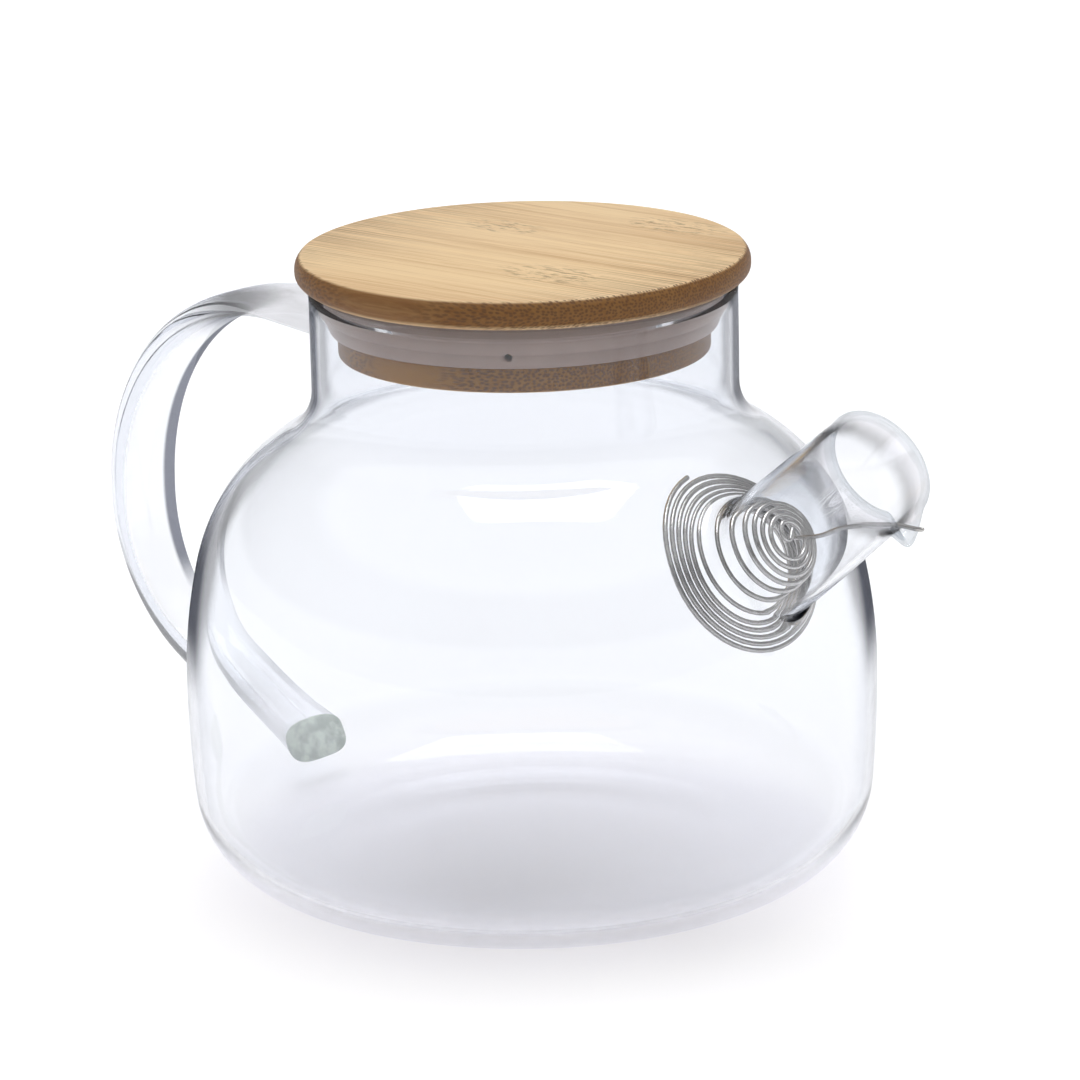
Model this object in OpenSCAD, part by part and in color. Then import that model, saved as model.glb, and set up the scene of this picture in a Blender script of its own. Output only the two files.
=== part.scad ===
// Glass teapot: blown body with a fused spout and strap handle, a bamboo lid with a
// silicone seal, and a wire coil strainer in the root of the spout.
// Millimetres, +Z up. The origin is the centre of the base, the spout points along +X
// and the handle along -X.

/* [Body] */
// Largest radius of the glass body
body_r = 70; // [68:0.5:72]
// Thickness of the glass wall
wall = 1.8; // [1.6:0.1:2.2]
// Thickness of the glass floor
floor_t = 3; // [2.5:0.1:4]
// Height of the mouth's rim above the table
mouth_z = 122; // [118:0.5:126]

/* [Lid] */
// Largest radius of the bamboo disc
disc_r = 45.4; // [44:0.1:47]
// Thickness of the bamboo disc
disc_t = 5.9; // [5:0.1:8]
// Radius of the bamboo plug
plug_r = 37.2; // [36.5:0.1:37.5]
// Thickness of the plug below the seal
plug_t = 5; // [4:0.5:8]
// Height of the silicone seal
seal_h = 8.3; // [7.5:0.1:9]
// Number of fins round the seal
seal_fins = 3; // [2:1:4]

/* [Spout] */
// Distance of the centre of the spout's rim from the body's axis
rim_x = 92.9; // [91:0.1:95]
// Height of the centre of the spout's rim
rim_z = 99.9; // [98:0.1:102]
// Angle of the spout above the table
spout_tilt = 39.5; // [39:0.5:40]
// Outer radius of the tube at its rim
tube_r = 11.7; // [11.5:0.1:12]
// Thickness of the tube's wall
tube_wall = 1.4; // [1.2:0.1:1.4]

/* [Handle] */
// Width of the glass strap
strap_w = 17; // [14:0.5:20]
// Thickness of the glass strap
strap_t = 5.4; // [4:0.1:7]
// Height of the strap's crest line above the table
crest_z = 106.9; // [104:0.1:109]

/* [Strainer] */
// Diameter of the steel wire
wire_d = 1; // [0.8:0.05:1.1]
// Radius of the outermost turn of the flange
flange_r = 18.6; // [17:0.1:18.6]
// Number of sides of the wire's section
wire_sides = 8; // [6:1:10]

/* [Hidden] */

$fn = 96;
gap = 0.3;                       // clearance between pieces that move apart
arc_step = 6;                    // degrees between points on a round stretch
far = 300;                       // larger than the whole teapot
overrun = 10;                    // how far a cut runs past the face that it opens

// Body outline: arcs that meet tangentially, each with its radius and the heading where it
// ends. The heading is 0 along the table, 90 straight up, more when it leans inwards.
corner_r = 20;                   // rounded foot
low_side_r = 256;                // nearly straight lower side
high_side_r = 110;               // upper side
shoulder_r = 41.5;               // shoulder
throat_r = 11;                   // hollow below the neck
corner_end = 85;
high_side_end = 103;
shoulder_end = 149;
flat_r = body_r - corner_r * sin(corner_end) - low_side_r * (1 - sin(corner_end));
bead_r = 1.3;                    // rounded rim of the mouth
bead_out = 0.3;                  // and how far it stands out from the neck

function arc_end(p, r, a0, a1) = p + r * [sin(a1) - sin(a0), cos(a0) - cos(a1)];
function arc_pts(p, r, a0, a1) =
    let (n = max(2, ceil(abs(a1 - a0) / arc_step)))
    [for (i = [1:n]) arc_end(p, r, a0, a0 + (a1 - a0) * i / n)];

// Outline of the body moved inwards by t, from its flat foot to the mouth
function body_outline(t) =
    let (p0 = [flat_r, t],
         p1 = arc_end(p0, corner_r - t, 0, corner_end),
         p2 = arc_end(p1, low_side_r - t, corner_end, 90),
         p3 = arc_end(p2, high_side_r - t, 90, high_side_end),
         p4 = arc_end(p3, shoulder_r - t, high_side_end, shoulder_end),
         p5 = arc_end(p4, -(throat_r + t), shoulder_end, 90))
    concat([[0, t], p0],
           arc_pts(p0, corner_r - t, 0, corner_end),
           [p2],
           arc_pts(p2, high_side_r - t, 90, high_side_end),
           arc_pts(p3, shoulder_r - t, high_side_end, shoulder_end),
           arc_pts(p4, -(throat_r + t), shoulder_end, 90),
           [[p5[0], mouth_z - (t > 0 ? -far : bead_r)], [0, mouth_z - (t > 0 ? -far : bead_r)]]);

neck_r = body_outline(0)[len(body_outline(0)) - 2][0];
neck_bore_r = neck_r - wall;

module body_outside() {
    rotate_extrude() polygon(body_outline(0));
}

module glass_body() {
    color("aliceblue", 0.35)
    difference() {
        union() {
            body_outside();
            translate([0, 0, mouth_z - bead_r])
                rotate_extrude() translate([neck_r - bead_r + bead_out, 0]) circle(r = bead_r);
        }
        rotate_extrude() intersection() {
            polygon(body_outline(wall));
            translate([0, floor_t]) square([far, far]);
        }
        in_spout() spout_bore();
    }
}

// Spout frame: origin at the rim's centre, +Z out of the spout, +X towards its underside
module in_spout() {
    translate([rim_x, 0, rim_z]) rotate([0, 90 - spout_tilt, 0]) children();
}

root_r = tube_r + 0.7;           // the tube widens a little towards its root
root_in = 50;                    // far enough inside the body
root_fillet_u = -31;             // where the fused root starts to widen
root_fillet_r = 9;
root_fillet_end = 48;            // degrees
rim_bead_r = 0.85;

// Tube from inside the body to z = top, with a wider root; t moves its surface inwards
module spout_tube(t, top) {
    fillet = [for (a = [root_fillet_end:-arc_step:0])
        [root_r - t + root_fillet_r * (1 - cos(a)), root_fillet_u - root_fillet_r * sin(a)]];
    rotate_extrude() polygon(concat([[0, -root_in], [fillet[0][0], -root_in]], fillet,
                                    [[tube_r - t, 0], [tube_r - t, top], [0, top]]));
}

module spout_bore() {
    spout_tube(tube_wall, overrun);
}

// Pouring lip: a short open trough pulled down out of the lowest part of the rim
lip_start = [8.8, -5.2];         // [towards the underside, along the spout]
lip_end = [14.4, -1.8];
lip_tilt = atan2(lip_end[0] - lip_start[0], lip_end[1] - lip_start[1]);
lip_len = norm(lip_end - lip_start);
lip_r = 3.3;
lip_wall = 1.1;
lip_edge = 0.6;                  // the trough's edges stand this far above its axis

// Trough frame: +Z along the trough, +X towards its bottom
module in_lip() {
    translate([lip_start[0], 0, lip_start[1]]) rotate([0, lip_tilt, 0]) children();
}

module lip_outside() {
    in_lip() difference() {
        cylinder(r = lip_r, h = lip_len);
        translate([-far - lip_edge, -far / 2, -overrun]) cube(far);
    }
}

module lip_channel() {
    in_lip() {
        cylinder(r = lip_r - lip_wall, h = far);
        translate([-tube_r, lip_wall - lip_r, 0]) cube([tube_r, 2 * (lip_r - lip_wall), far]);
    }
}

module glass_spout() {
    color("aliceblue", 0.35)
    difference() {
        in_spout() difference() {
            union() {
                spout_tube(0, 0.01);
                rotate_extrude() translate([tube_r - tube_wall / 2, 0]) circle(r = rim_bead_r);
                lip_outside();
            }
            spout_bore();
            lip_channel();
        }
        body_outside();
    }
}

// Handle: one flat strap with rounded edges along tangent arcs in the XZ plane
bow_r = 47.4;                    // upper bow
bow_x = -69.4;
bow_z = crest_z - bow_r;
crown_fall = atan2(237, 3116);   // slope of the straight run to the neck, exact in five decimals
crown_len = 32;
back_len = 1.5;                  // upright run between the two bows
heel_r = 36.5;                   // lower bow
heel_sweep = 66;
heel_x = bow_x - bow_r + heel_r;
heel_z = bow_z - back_len;
toe_len = 34;                    // straight run back to the body
strap_edge_step = 15;            // degrees between points on the strap's rounded edges

module strap_section() {
    polygon([for (side = [1, -1], a = [0:strap_edge_step:180])
        side * [strap_t / 2 * cos(a), (strap_w - strap_t + strap_t * sin(a)) / 2]]);
}

// Arc of the strap in the XZ plane, from angle a0 to a1 round (x, z)
module strap_arc(x, z, r, a0, a1) {
    translate([x, 0, z]) rotate([90, 0, 0]) rotate([0, 0, a0])
        rotate_extrude(angle = a1 - a0) translate([r, 0]) strap_section();
}

// Straight run that leaves an arc's end at angle a, onwards if len is positive, else backwards
module strap_run(x, z, r, a, len) {
    translate([x, 0, z]) rotate([0, -a, 0]) translate([r, 0, min(0, len)])
        linear_extrude(abs(len)) strap_section();
}

module glass_handle() {
    color("aliceblue", 0.35)
    difference() {
        union() {
            strap_run(bow_x, bow_z, bow_r, 90 - crown_fall, -crown_len);
            strap_arc(bow_x, bow_z, bow_r, 90 - crown_fall, 180);
            strap_run(bow_x, bow_z, bow_r, 180, back_len);
            strap_arc(heel_x, heel_z, heel_r, 180, 180 + heel_sweep);
            strap_run(heel_x, heel_z, heel_r, 180 + heel_sweep, toe_len);
        }
        body_outside();
    }
}

// Lid: a bamboo disc glued to a bamboo plug, with the seal in the plug's groove
disc_z = mouth_z + gap;
seal_z = mouth_z - seal_h;
plug_z = seal_z - gap - plug_t;
groove_depth = 3.2;
groove_r = plug_r - groove_depth;
edge_top_in = 1.2;               // how far the disc's edge curves in at the top
edge_under_in = 2.4;             // and at the underside
edge_power = 2.6;
edge_points = 9;
plug_round = 0.8;

function edge_r(t) = disc_r - (t > 0 ? edge_top_in : edge_under_in) * pow(abs(t), edge_power);

module lid_disc() {
    color("burlywood")
    translate([0, 0, disc_z]) rotate_extrude() polygon(concat([[0, 0]],
        [for (i = [0:edge_points]) let (t = 2 * i / edge_points - 1) [edge_r(t), (t + 1) * disc_t / 2]],
        [[0, disc_t]]));
}

module lid_plug() {
    color("peru")
    translate([0, 0, plug_z]) rotate_extrude() polygon(concat([[0, 0]],
        [for (a = [-90:15:0]) [plug_r - plug_round * (1 - cos(a)), plug_round * (1 + sin(a))]],
        [[plug_r, plug_t], [groove_r, plug_t], [groove_r, disc_z - plug_z], [0, disc_z - plug_z]]));
}

fin_tip_r = neck_bore_r - gap;   // the topmost fin only just clears the neck
fin_taper = 0.9;                 // each lower fin is smaller
fin_depth = 0.9;
fin_pitch = seal_h / seal_fins;
// Each fin's corners, [how far in from its tip, height as a part of the pitch]
fin_shape = [[fin_depth, 1], [0, 0.45], [0, 0.15]];
vent_angle = -50;
vent_z = seal_z + 2.4;
vent_d = 1.6;

module lid_seal() {
    color("rosybrown")
    difference() {
        translate([0, 0, seal_z]) rotate_extrude() polygon(concat(
            [[groove_r + gap, seal_h], [groove_r + gap, 0]],
            [for (i = [seal_fins - 1:-1:0], p = fin_shape)
                [fin_tip_r - i * fin_taper - p[0], seal_h - (i + p[1]) * fin_pitch]],
            [[fin_tip_r - fin_depth / 2, seal_h]]));
        rotate([0, 0, vent_angle]) translate([groove_r + 2 * fin_depth, 0, vent_z])
            rotate([0, 90, 0]) cylinder(d = vent_d, h = overrun, $fn = 24);
    }
}

// Strainer: one steel wire, coiled as a flange, a barrel and a closed cap
coil_x = 57.1;                   // centre of the flange
coil_z = 74.4;
coil_tilt = 28.5;                // angle of the coil's axis above the table
wire_r = wire_d / 2;
// [turn, radius] and [turn, distance along the coil's axis]
coil_radius = [[0, flange_r], [5, 12], [6, 9.8], [7, 9.2], [8, 8.7], [9, 7.8], [12, 3.3]];
coil_depth = [[0, 0], [5, 1.6], [6, 5.2], [7, 9.2], [8, 12.5], [9, 14.2], [12, 15.8]];
coil_turns = 12;
coil_start = 190;                // degrees, the wire's free end is near the top
steps_per_turn = 20;
tail_steps = 8;                  // the last third of a turn runs in to the axis
tail_turn = 0.36;
bar_len = 2;                     // and on past the axis as a short cross bar

flange_bow = 2.5;                // the flange's top edge leans back along the curved shoulder

function coil_point(turn, r) =
    let (a = coil_start + 360 * turn, x = r * cos(a))
    [x, r * sin(a), lookup(min(turn, coil_turns), coil_depth) - flange_bow * pow(max(0, -x / flange_r), 2)];
function coil_path() = concat(
    [for (i = [0:coil_turns * steps_per_turn]) let (t = i / steps_per_turn) coil_point(t, lookup(t, coil_radius))],
    [for (i = [1:tail_steps]) coil_point(coil_turns + tail_turn * i / tail_steps,
        lookup(coil_turns, coil_radius) * (1 - i / tail_steps))],
    [coil_point(coil_turns + tail_turn, -bar_len)]);

// Round wire swept along points; ref is a direction that the wire never runs along
module wire(points, ref, r) {
    last = len(points) - 1;
    rings = [for (i = [0:last])
        let (t = points[min(i + 1, last)] - points[max(i - 1, 0)],
             side = cross(ref, t) / norm(cross(ref, t)),
             up = cross(t, side) / norm(t))
        for (k = [0:wire_sides - 1]) let (a = 360 * k / wire_sides)
            points[i] + r * (cos(a) * side + sin(a) * up)];
    n = wire_sides;
    polyhedron(rings, concat(
        [[for (k = [0:n - 1]) k]],
        [for (i = [0:last - 1], k = [0:n - 1])
            [i * n + k, (i + 1) * n + k, (i + 1) * n + (k + 1) % n, i * n + (k + 1) % n]],
        [[for (k = [n - 1:-1:0]) last * n + k]]), convexity = 10);
}

module strainer_coil() {
    color("silver")
    translate([coil_x, 0, coil_z]) rotate([0, 90 - coil_tilt, 0]) wire(coil_path(), [0, 0, 1], wire_r);
}

// Leg: springy wire from the coil's cap along the floor of the spout and out over the lip
leg_r = 0.45;
cap_depth = lookup(coil_turns, coil_depth);
cap = [coil_x + cap_depth * cos(coil_tilt), coil_z + cap_depth * sin(coil_tilt)];
// The cap seen in the spout frame: [towards the underside, along the spout]
cap_w = (cap[0] - rim_x) * sin(spout_tilt) - (cap[1] - rim_z) * cos(spout_tilt);
cap_u = (cap[0] - rim_x) * cos(spout_tilt) + (cap[1] - rim_z) * sin(spout_tilt);
leg_start = wire_r + 0.4;
// Bends of the leg after the cap, [towards the underside, along the spout]
leg_bends = [[3.2, -21.5], [4.6, -16], [6.7, -11.2], [8.9, -7.2], [11.2, -3.3], [14, 0.2], [15.2, 2]];

function leg_path() =
    let (c = [cap_w, cap_u], d = (leg_bends[0] - c) / norm(leg_bends[0] - c), s = c + leg_start * d)
    [for (p = concat([s], leg_bends)) [p[0], 0, p[1]]];

module strainer_leg() {
    color("silver") in_spout() wire(leg_path(), [0, 1, 0], leg_r);
}

glass_body();
glass_spout();
glass_handle();
lid_disc();
lid_plug();
lid_seal();
strainer_coil();
strainer_leg();
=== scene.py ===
"""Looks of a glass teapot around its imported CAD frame: fused glass vessel and strap handle,
bamboo lid with a silicone seal, and a wire coil strainer in the spout. Sizes are in millimetres
until a mesh is made, in the CAD frame: origin at the centre of the base, +X to the spout."""
import math

import bmesh
import bpy
import numpy as np
from mathutils import Matrix, Vector


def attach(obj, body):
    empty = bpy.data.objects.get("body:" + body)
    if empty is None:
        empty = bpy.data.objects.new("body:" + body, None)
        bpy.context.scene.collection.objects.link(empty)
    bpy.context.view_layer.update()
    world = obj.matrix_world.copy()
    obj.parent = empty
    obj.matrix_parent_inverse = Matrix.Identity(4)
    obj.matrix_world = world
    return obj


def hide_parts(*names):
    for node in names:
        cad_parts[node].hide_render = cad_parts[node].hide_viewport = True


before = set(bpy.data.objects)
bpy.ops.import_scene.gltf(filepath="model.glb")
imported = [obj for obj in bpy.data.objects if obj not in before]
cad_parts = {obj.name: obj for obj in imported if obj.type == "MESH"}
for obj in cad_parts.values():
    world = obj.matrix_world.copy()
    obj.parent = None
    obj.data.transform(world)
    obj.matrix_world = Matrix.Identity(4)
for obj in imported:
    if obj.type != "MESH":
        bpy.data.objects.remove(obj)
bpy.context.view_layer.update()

MM = 0.001

# ---------------- driving sizes (mm)
BODY_R = 69.97               # largest radius of the vessel, a hair inside the CAD solid
WALL = 1.8                   # glass wall
FLOOR_T = 3.0                # glass floor
FOOT_HOLLOW, FOOT_HOLLOW_R = 0.7, 30.0   # the base is pushed in, so that it stands on a ring
MOUTH_Z = 122.0              # top of the mouth's rim
CORNER_R, CORNER_END = 20.0, 85.0        # outline arcs: radius, heading where it ends
LOW_SIDE_R, LOW_SIDE_END = 256.0, 90.0
HIGH_SIDE_R, HIGH_SIDE_END = 110.0, 103.0
SHOULDER_R, SHOULDER_END = 41.5, 149.0
THROAT_R, THROAT_END = 11.0, 90.0
RIM_X, RIM_Z = 92.9, 99.9    # centre of the spout's rim
SPOUT_TILT = 39.5            # spout's axis above the table, degrees
TUBE_R, ROOT_R = 11.7, 12.4  # outer radius of the spout at its rim and at its root
TUBE_WALL = 1.4
TUBE_LEN = 31.0              # over which the tube widens from TUBE_R to ROOT_R
LID_R, LID_T = 45.4, 5.9     # the lid's disc
PLUG_R, PLUG_T = 37.2, 5.0   # the smaller disc under it
SEAL_H = 8.3
GAP = 0.3                    # clearance between the lid's pieces and the glass
DISC_Z = MOUTH_Z + GAP
SEAL_Z = MOUTH_Z - SEAL_H
PLUG_Z = SEAL_Z - GAP - PLUG_T
GROOVE_R = PLUG_R - 3.2      # the core of the plug that the seal sits on
ROUND_STEPS = 192            # round the lid's pieces


def sin(a):
    return math.sin(math.radians(a))


def cos(a):
    return math.cos(math.radians(a))


def smooth(t):
    t = min(max(t, 0.0), 1.0)
    return t * t * (3 - 2 * t)


# ---------------- mesh helpers
def make_object(name, verts, faces, material, smooth_shading=True):
    mesh = bpy.data.meshes.new(name)
    mesh.from_pydata([tuple(MM * float(c) for c in v) for v in verts], [], faces)
    mesh.validate()
    mesh.update()
    for poly in mesh.polygons:
        poly.use_smooth = smooth_shading
    mesh.materials.append(material)
    obj = bpy.data.objects.new(name, mesh)
    bpy.context.scene.collection.objects.link(obj)
    return obj


def face_outwards(obj):
    bm = bmesh.new()
    bm.from_mesh(obj.data)
    bmesh.ops.recalc_face_normals(bm, faces=bm.faces)
    bm.to_mesh(obj.data)
    bm.free()


def grid_faces(rows, cols):
    """Quads between rows of cols vertices, each row closed to a ring."""
    faces = []
    for i in range(rows - 1):
        for j in range(cols):
            a, b = i * cols + j, i * cols + (j + 1) % cols
            faces.append((a, b, b + cols, a + cols))
    return faces


def bridge(ring_a, ring_b, faces):
    """Quads between two rings of as many vertices."""
    n = len(ring_a)
    for k in range(n):
        faces.append((ring_a[k], ring_a[(k + 1) % n], ring_b[(k + 1) % n], ring_b[k]))


def end_fans(verts, faces, first, last, cols):
    """Closes a grid of rings of cols vertices by a fan to one point at each end."""
    low, high, top = len(verts), len(verts) + 1, len(verts) - cols
    verts += [first, last]
    for k in range(cols):
        faces.append((low, (k + 1) % cols, k))
        faces.append((high, top + k, top + (k + 1) % cols))


def end_caps(faces, rows, cols):
    """Closes a grid of rings by one flat face at each end."""
    top = (rows - 1) * cols
    faces.append(tuple(range(cols - 1, -1, -1)))
    faces.append(tuple(range(top, top + cols)))


def circle(r, z, steps):
    """Points round the Z axis at radius r and height z."""
    return [(r * math.cos(a), r * math.sin(a), z)
            for a in (2 * math.pi * k / steps for k in range(steps))]


def revolve(name, outline, material):
    """Closed outline of (r, z) points that starts and ends on the axis, turned about Z."""
    inner = outline[1:-1]
    verts = [p for r, z in inner for p in circle(r, z, ROUND_STEPS)]
    faces = grid_faces(len(inner), ROUND_STEPS)
    end_fans(verts, faces, (0, 0, outline[0][1]), (0, 0, outline[-1][1]), ROUND_STEPS)
    return make_object(name, verts, faces, material)


def arc(cx, cz, r, a0, a1, n):
    angles = (a0 + (a1 - a0) * k / n for k in range(n + 1))
    return [(cx + r * cos(a), cz + r * sin(a)) for a in angles]


def crossing(outside_by, low, high, steps=48):
    """Where outside_by turns positive between low and high."""
    for _ in range(steps):
        mid = (low + high) / 2
        if outside_by(mid) > 0:
            high = mid
        else:
            low = mid
    return (low + high) / 2


# ---------------- vessel outline
class Outline:
    """Outer outline of the vessel by arc length: straight foot, then tangent arcs to the neck."""

    def __init__(self):
        foot = BODY_R - CORNER_R * sin(CORNER_END) - LOW_SIDE_R * (1 - sin(CORNER_END))
        self.pieces = [("line", foot, (0.0, 0.0), 0.0)]
        x, z, heading, s = foot, 0.0, 0.0, foot
        self.foot = foot
        for r, end in ((CORNER_R, CORNER_END), (LOW_SIDE_R, LOW_SIDE_END),
                       (HIGH_SIDE_R, HIGH_SIDE_END), (SHOULDER_R, SHOULDER_END),
                       (-THROAT_R, THROAT_END)):
            length = r * math.radians(end - heading)
            self.pieces.append(("arc", s + length, (x, z), heading, r, s))
            x, z = x + r * (sin(end) - sin(heading)), z + r * (cos(heading) - cos(end))
            heading, s = end, s + length
        self.neck_r, self.neck_z, self.neck_s = x, z, s

    def at(self, s):
        """(r, z, heading) at arc length s from the axis."""
        for piece in self.pieces:
            if s <= piece[1]:
                if piece[0] == "line":
                    return s, 0.0, 0.0
                _, _, (x, z), h0, r, s0 = piece
                h = h0 + math.degrees((s - s0) / r)
                return x + r * (sin(h) - sin(h0)), z + r * (cos(h0) - cos(h)), h
        return self.neck_r, self.neck_z + s - self.neck_s, 90.0

    def length_at(self, index):
        return self.pieces[index][1]


OUT = Outline()


def wall_at(s):
    """Thickness of the glass along the outline: the floor is thicker than the side."""
    return WALL + (FLOOR_T - WALL) * (1 - smooth((s - OUT.foot) / (OUT.length_at(1) - OUT.foot)))


def vessel_point(s, theta, inside):
    """Point of the vessel's outer or inner surface at arc length s and angle theta (radians)."""
    r, z, h = OUT.at(s)
    if inside:
        t = wall_at(s)
        r, z = r - t * sin(h), z + t * cos(h)
    else:
        z += FOOT_HOLLOW * (1 - smooth((s - FOOT_HOLLOW_R) / (OUT.foot - FOOT_HOLLOW_R)))
    return np.array([r * math.cos(theta), r * math.sin(theta), z])


# ---------------- vessel mesh
COLUMNS = 256                # round the vessel
PATCH = 36                   # columns and rows of the patch round the spout's root
RINGS = 4 * PATCH            # points round the spout
PATCH_STEPS = 10             # rings of the patch between the fillet and its square edge
PATCH_BELOW, PATCH_ABOVE = 7.0, 6.0      # room between the fillet and the patch's edge
FIRST_ROW_R = 2.0            # a fan closes the floor inside this radius
MOUTH_ROOM = 2.0             # the rows end this far under the rim
FLOOR_ROWS, CORNER_ROWS, SIDE_ROWS, SHOULDER_ROWS, NECK_ROWS = 13, 25, 11, 15, 9
TABLE_ROWS, TABLE_NECK = 2400, 25.0      # lookup table of the profile, and its run up the neck
SPOUT_SPAN = (-62.0, -8.0)   # along the spout, from its rim, where its lines meet the body
FILLET_OUT, FILLET_OUT_UP = 4.6, 4.6     # reach of the fused fillet over the body and up the tube
FILLET_IN, FILLET_IN_UP = 4.2, 6.0
FILLET_STEPS, TUBE_STEPS, BEAD_STEPS = 8, 16, 14
SLOPE_STEP = 0.2             # radius step that measures the body's slope beside the spout
RIM_BEAD = 0.85
AXIS = np.array([cos(SPOUT_TILT), 0.0, sin(SPOUT_TILT)])
UNDER = np.array([sin(SPOUT_TILT), 0.0, -cos(SPOUT_TILT)])
SIDE = np.array([0.0, 1.0, 0.0])
RIM = np.array([RIM_X, 0.0, RIM_Z])
LIP_DOWN, LIP_BACK = 4.2, 3.3            # how far the pouring lip is pulled down and back
LIP_HALF_ANGLE, LIP_LEN = 27.0, 7.5
MOUTH_STEPS, MOUTH_START = 12, -20.0     # the mouth's bead: points, angle where it starts
MOUTH_FLARE, MOUTH_SWELL = 0.05, 0.2     # it stands outwards and is thicker than the wall
# where the glass of the beads begins: along the spout, under and behind its lip, below the mouth
BEAD_ZONE, LIP_ZONE, LIP_BEHIND, MOUTH_ZONE = 0.9, 0.3, 2.0, 2.2


def spout_xyz(rho, phi, u):
    """Point at radius rho, angle phi (degrees, 0 at the underside) and u along the spout's axis."""
    return RIM + u * AXIS + rho * (cos(phi) * UNDER + sin(phi) * SIDE)


def tube_radius(u, inside):
    r = TUBE_R + (ROOT_R - TUBE_R) * min(1.0, max(0.0, -u / TUBE_LEN))
    return r - TUBE_WALL if inside else r


def surface_table(inside):
    """Arc lengths up the side of the vessel, with the radius and height at each."""
    s = np.linspace(OUT.foot + 0.01, OUT.neck_s + TABLE_NECK, TABLE_ROWS)
    pts = np.array([vessel_point(v, 0.0, inside) for v in s])
    return s, pts[:, 0], pts[:, 2]


TABLES = {side: surface_table(side) for side in (False, True)}


def outside_of_body(point, inside=False):
    """How far a point lies outside the vessel's outer or inner surface, across the Z axis."""
    _, radius, height = TABLES[inside]
    return math.hypot(point[0], point[1]) - np.interp(point[2], height, radius)


def meet_body(rho, phi, inside):
    """u where the line along the spout at (rho, phi) leaves the vessel's surface."""
    return crossing(lambda u: outside_of_body(spout_xyz(rho, phi, u), inside), *SPOUT_SPAN)


def root_curve(phi, inside):
    """Fillet from the body to the tube at angle phi, as a list of (rho, u)."""
    reach, up = (FILLET_IN, FILLET_IN_UP) if inside else (FILLET_OUT, FILLET_OUT_UP)
    rho_c = tube_radius(-TUBE_LEN, inside)
    rho = rho_c + reach
    u = meet_body(rho, phi, inside)
    beyond, before = (meet_body(rho + step, phi, inside) for step in (SLOPE_STEP, -SLOPE_STEP))
    corner = np.array([rho_c, u - (beyond - before) / (2 * SLOPE_STEP) * reach])
    start = np.array([rho, u])
    end = np.array([tube_radius(corner[1] + up, inside), corner[1] + up])
    curve = []
    for k in range(FILLET_STEPS + 1):
        t = k / FILLET_STEPS
        curve.append((1 - t) ** 2 * start + 2 * t * (1 - t) * corner + t * t * end)
    return curve


def with_lip(rho, phi, u):
    """Point at (rho, phi, u), moved by the pull that forms the pouring lip."""
    turn = (phi + 180) % 360 - 180
    across = max(0.0, 1 - (turn / LIP_HALF_ANGLE) ** 2) ** 2
    along = smooth(1 + u / LIP_LEN) ** 2
    return spout_xyz(rho, phi, u) + across * along * (LIP_DOWN * UNDER - LIP_BACK * AXIS)


def fillet_foot(phi):
    """Arc length up the body at the outer end of the spout's fillet."""
    s, _, height = TABLES[False]
    rho = ROOT_R + FILLET_OUT
    return np.interp(spout_xyz(rho, phi, meet_body(rho, phi, False))[2], height, s)


def body_rows():
    """Arc lengths of the rows of the vessel's surface, and the index of the patch's first row."""
    low, high = fillet_foot(0) - PATCH_BELOW, fillet_foot(180) + PATCH_ABOVE
    neck_end = OUT.neck_s + MOUTH_Z - OUT.neck_z - MOUTH_ROOM
    stops = ((OUT.foot, FLOOR_ROWS), (OUT.length_at(1), CORNER_ROWS), (low, SIDE_ROWS),
             (high, PATCH), (OUT.neck_s, SHOULDER_ROWS), (neck_end, NECK_ROWS))
    rows = [FIRST_ROW_R]
    for stop, count in stops:
        rows += list(np.linspace(rows[-1], stop, count + 1))[1:]
    return rows, FLOOR_ROWS + CORNER_ROWS + SIDE_ROWS


def patch_edge(first):
    """Square edge of the patch in order of phi, as (row, column) with columns round theta 0."""
    half = PATCH // 2
    edge = [(first, c) for c in range(-half, half)]
    edge += [(first + r, half) for r in range(PATCH)]
    edge += [(first + PATCH, c) for c in range(half, -half, -1)]
    edge += [(first + r, -half) for r in range(PATCH, 0, -1)]
    return edge[half:] + edge[:half]


def surface(inside, verts, faces):
    """Adds one side of the vessel. Returns the vertex ring at the spout's root and at the neck."""
    rows, first = body_rows()
    base = len(verts)
    for s in rows:
        for c in range(COLUMNS):
            verts.append(vessel_point(s, 2 * math.pi * c / COLUMNS, inside))

    def index(r, c):
        return base + r * COLUMNS + c % COLUMNS

    for r in range(len(rows) - 1):
        for c in range(COLUMNS):
            in_patch = first <= r < first + PATCH and (c + PATCH // 2) % COLUMNS < PATCH
            if not in_patch:
                faces.append((index(r, c), index(r, c + 1), index(r + 1, c + 1), index(r + 1, c)))
    centre = len(verts)
    verts.append(vessel_point(0.0, 0.0, inside))
    faces += [(centre, index(0, c + 1), index(0, c)) for c in range(COLUMNS)]

    # the patch runs from its square edge to the outer end of the spout's fillet
    edge = patch_edge(first)
    s_table, _, z_table = TABLES[inside]
    loop = []
    for k in range(RINGS):
        phi = 360 * k / RINGS
        rho, u = root_curve(phi, inside)[0]
        x, y, z = spout_xyz(rho, phi, u)
        loop.append((float(np.interp(z, z_table, s_table)), math.atan2(y, x)))
    previous = [index(r, c) for r, c in edge]
    for step in range(1, PATCH_STEPS + 1):
        t = step / PATCH_STEPS
        ring = []
        for (r, c), (s1, a1) in zip(edge, loop):
            s0, a0 = rows[r], 2 * math.pi * c / COLUMNS
            ring.append(len(verts))
            verts.append(vessel_point(s0 + (s1 - s0) * t, a0 + (a1 - a0) * t, inside))
        bridge(previous, ring, faces)
        previous = ring
    return previous, [index(len(rows) - 1, c) for c in range(COLUMNS)]


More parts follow.
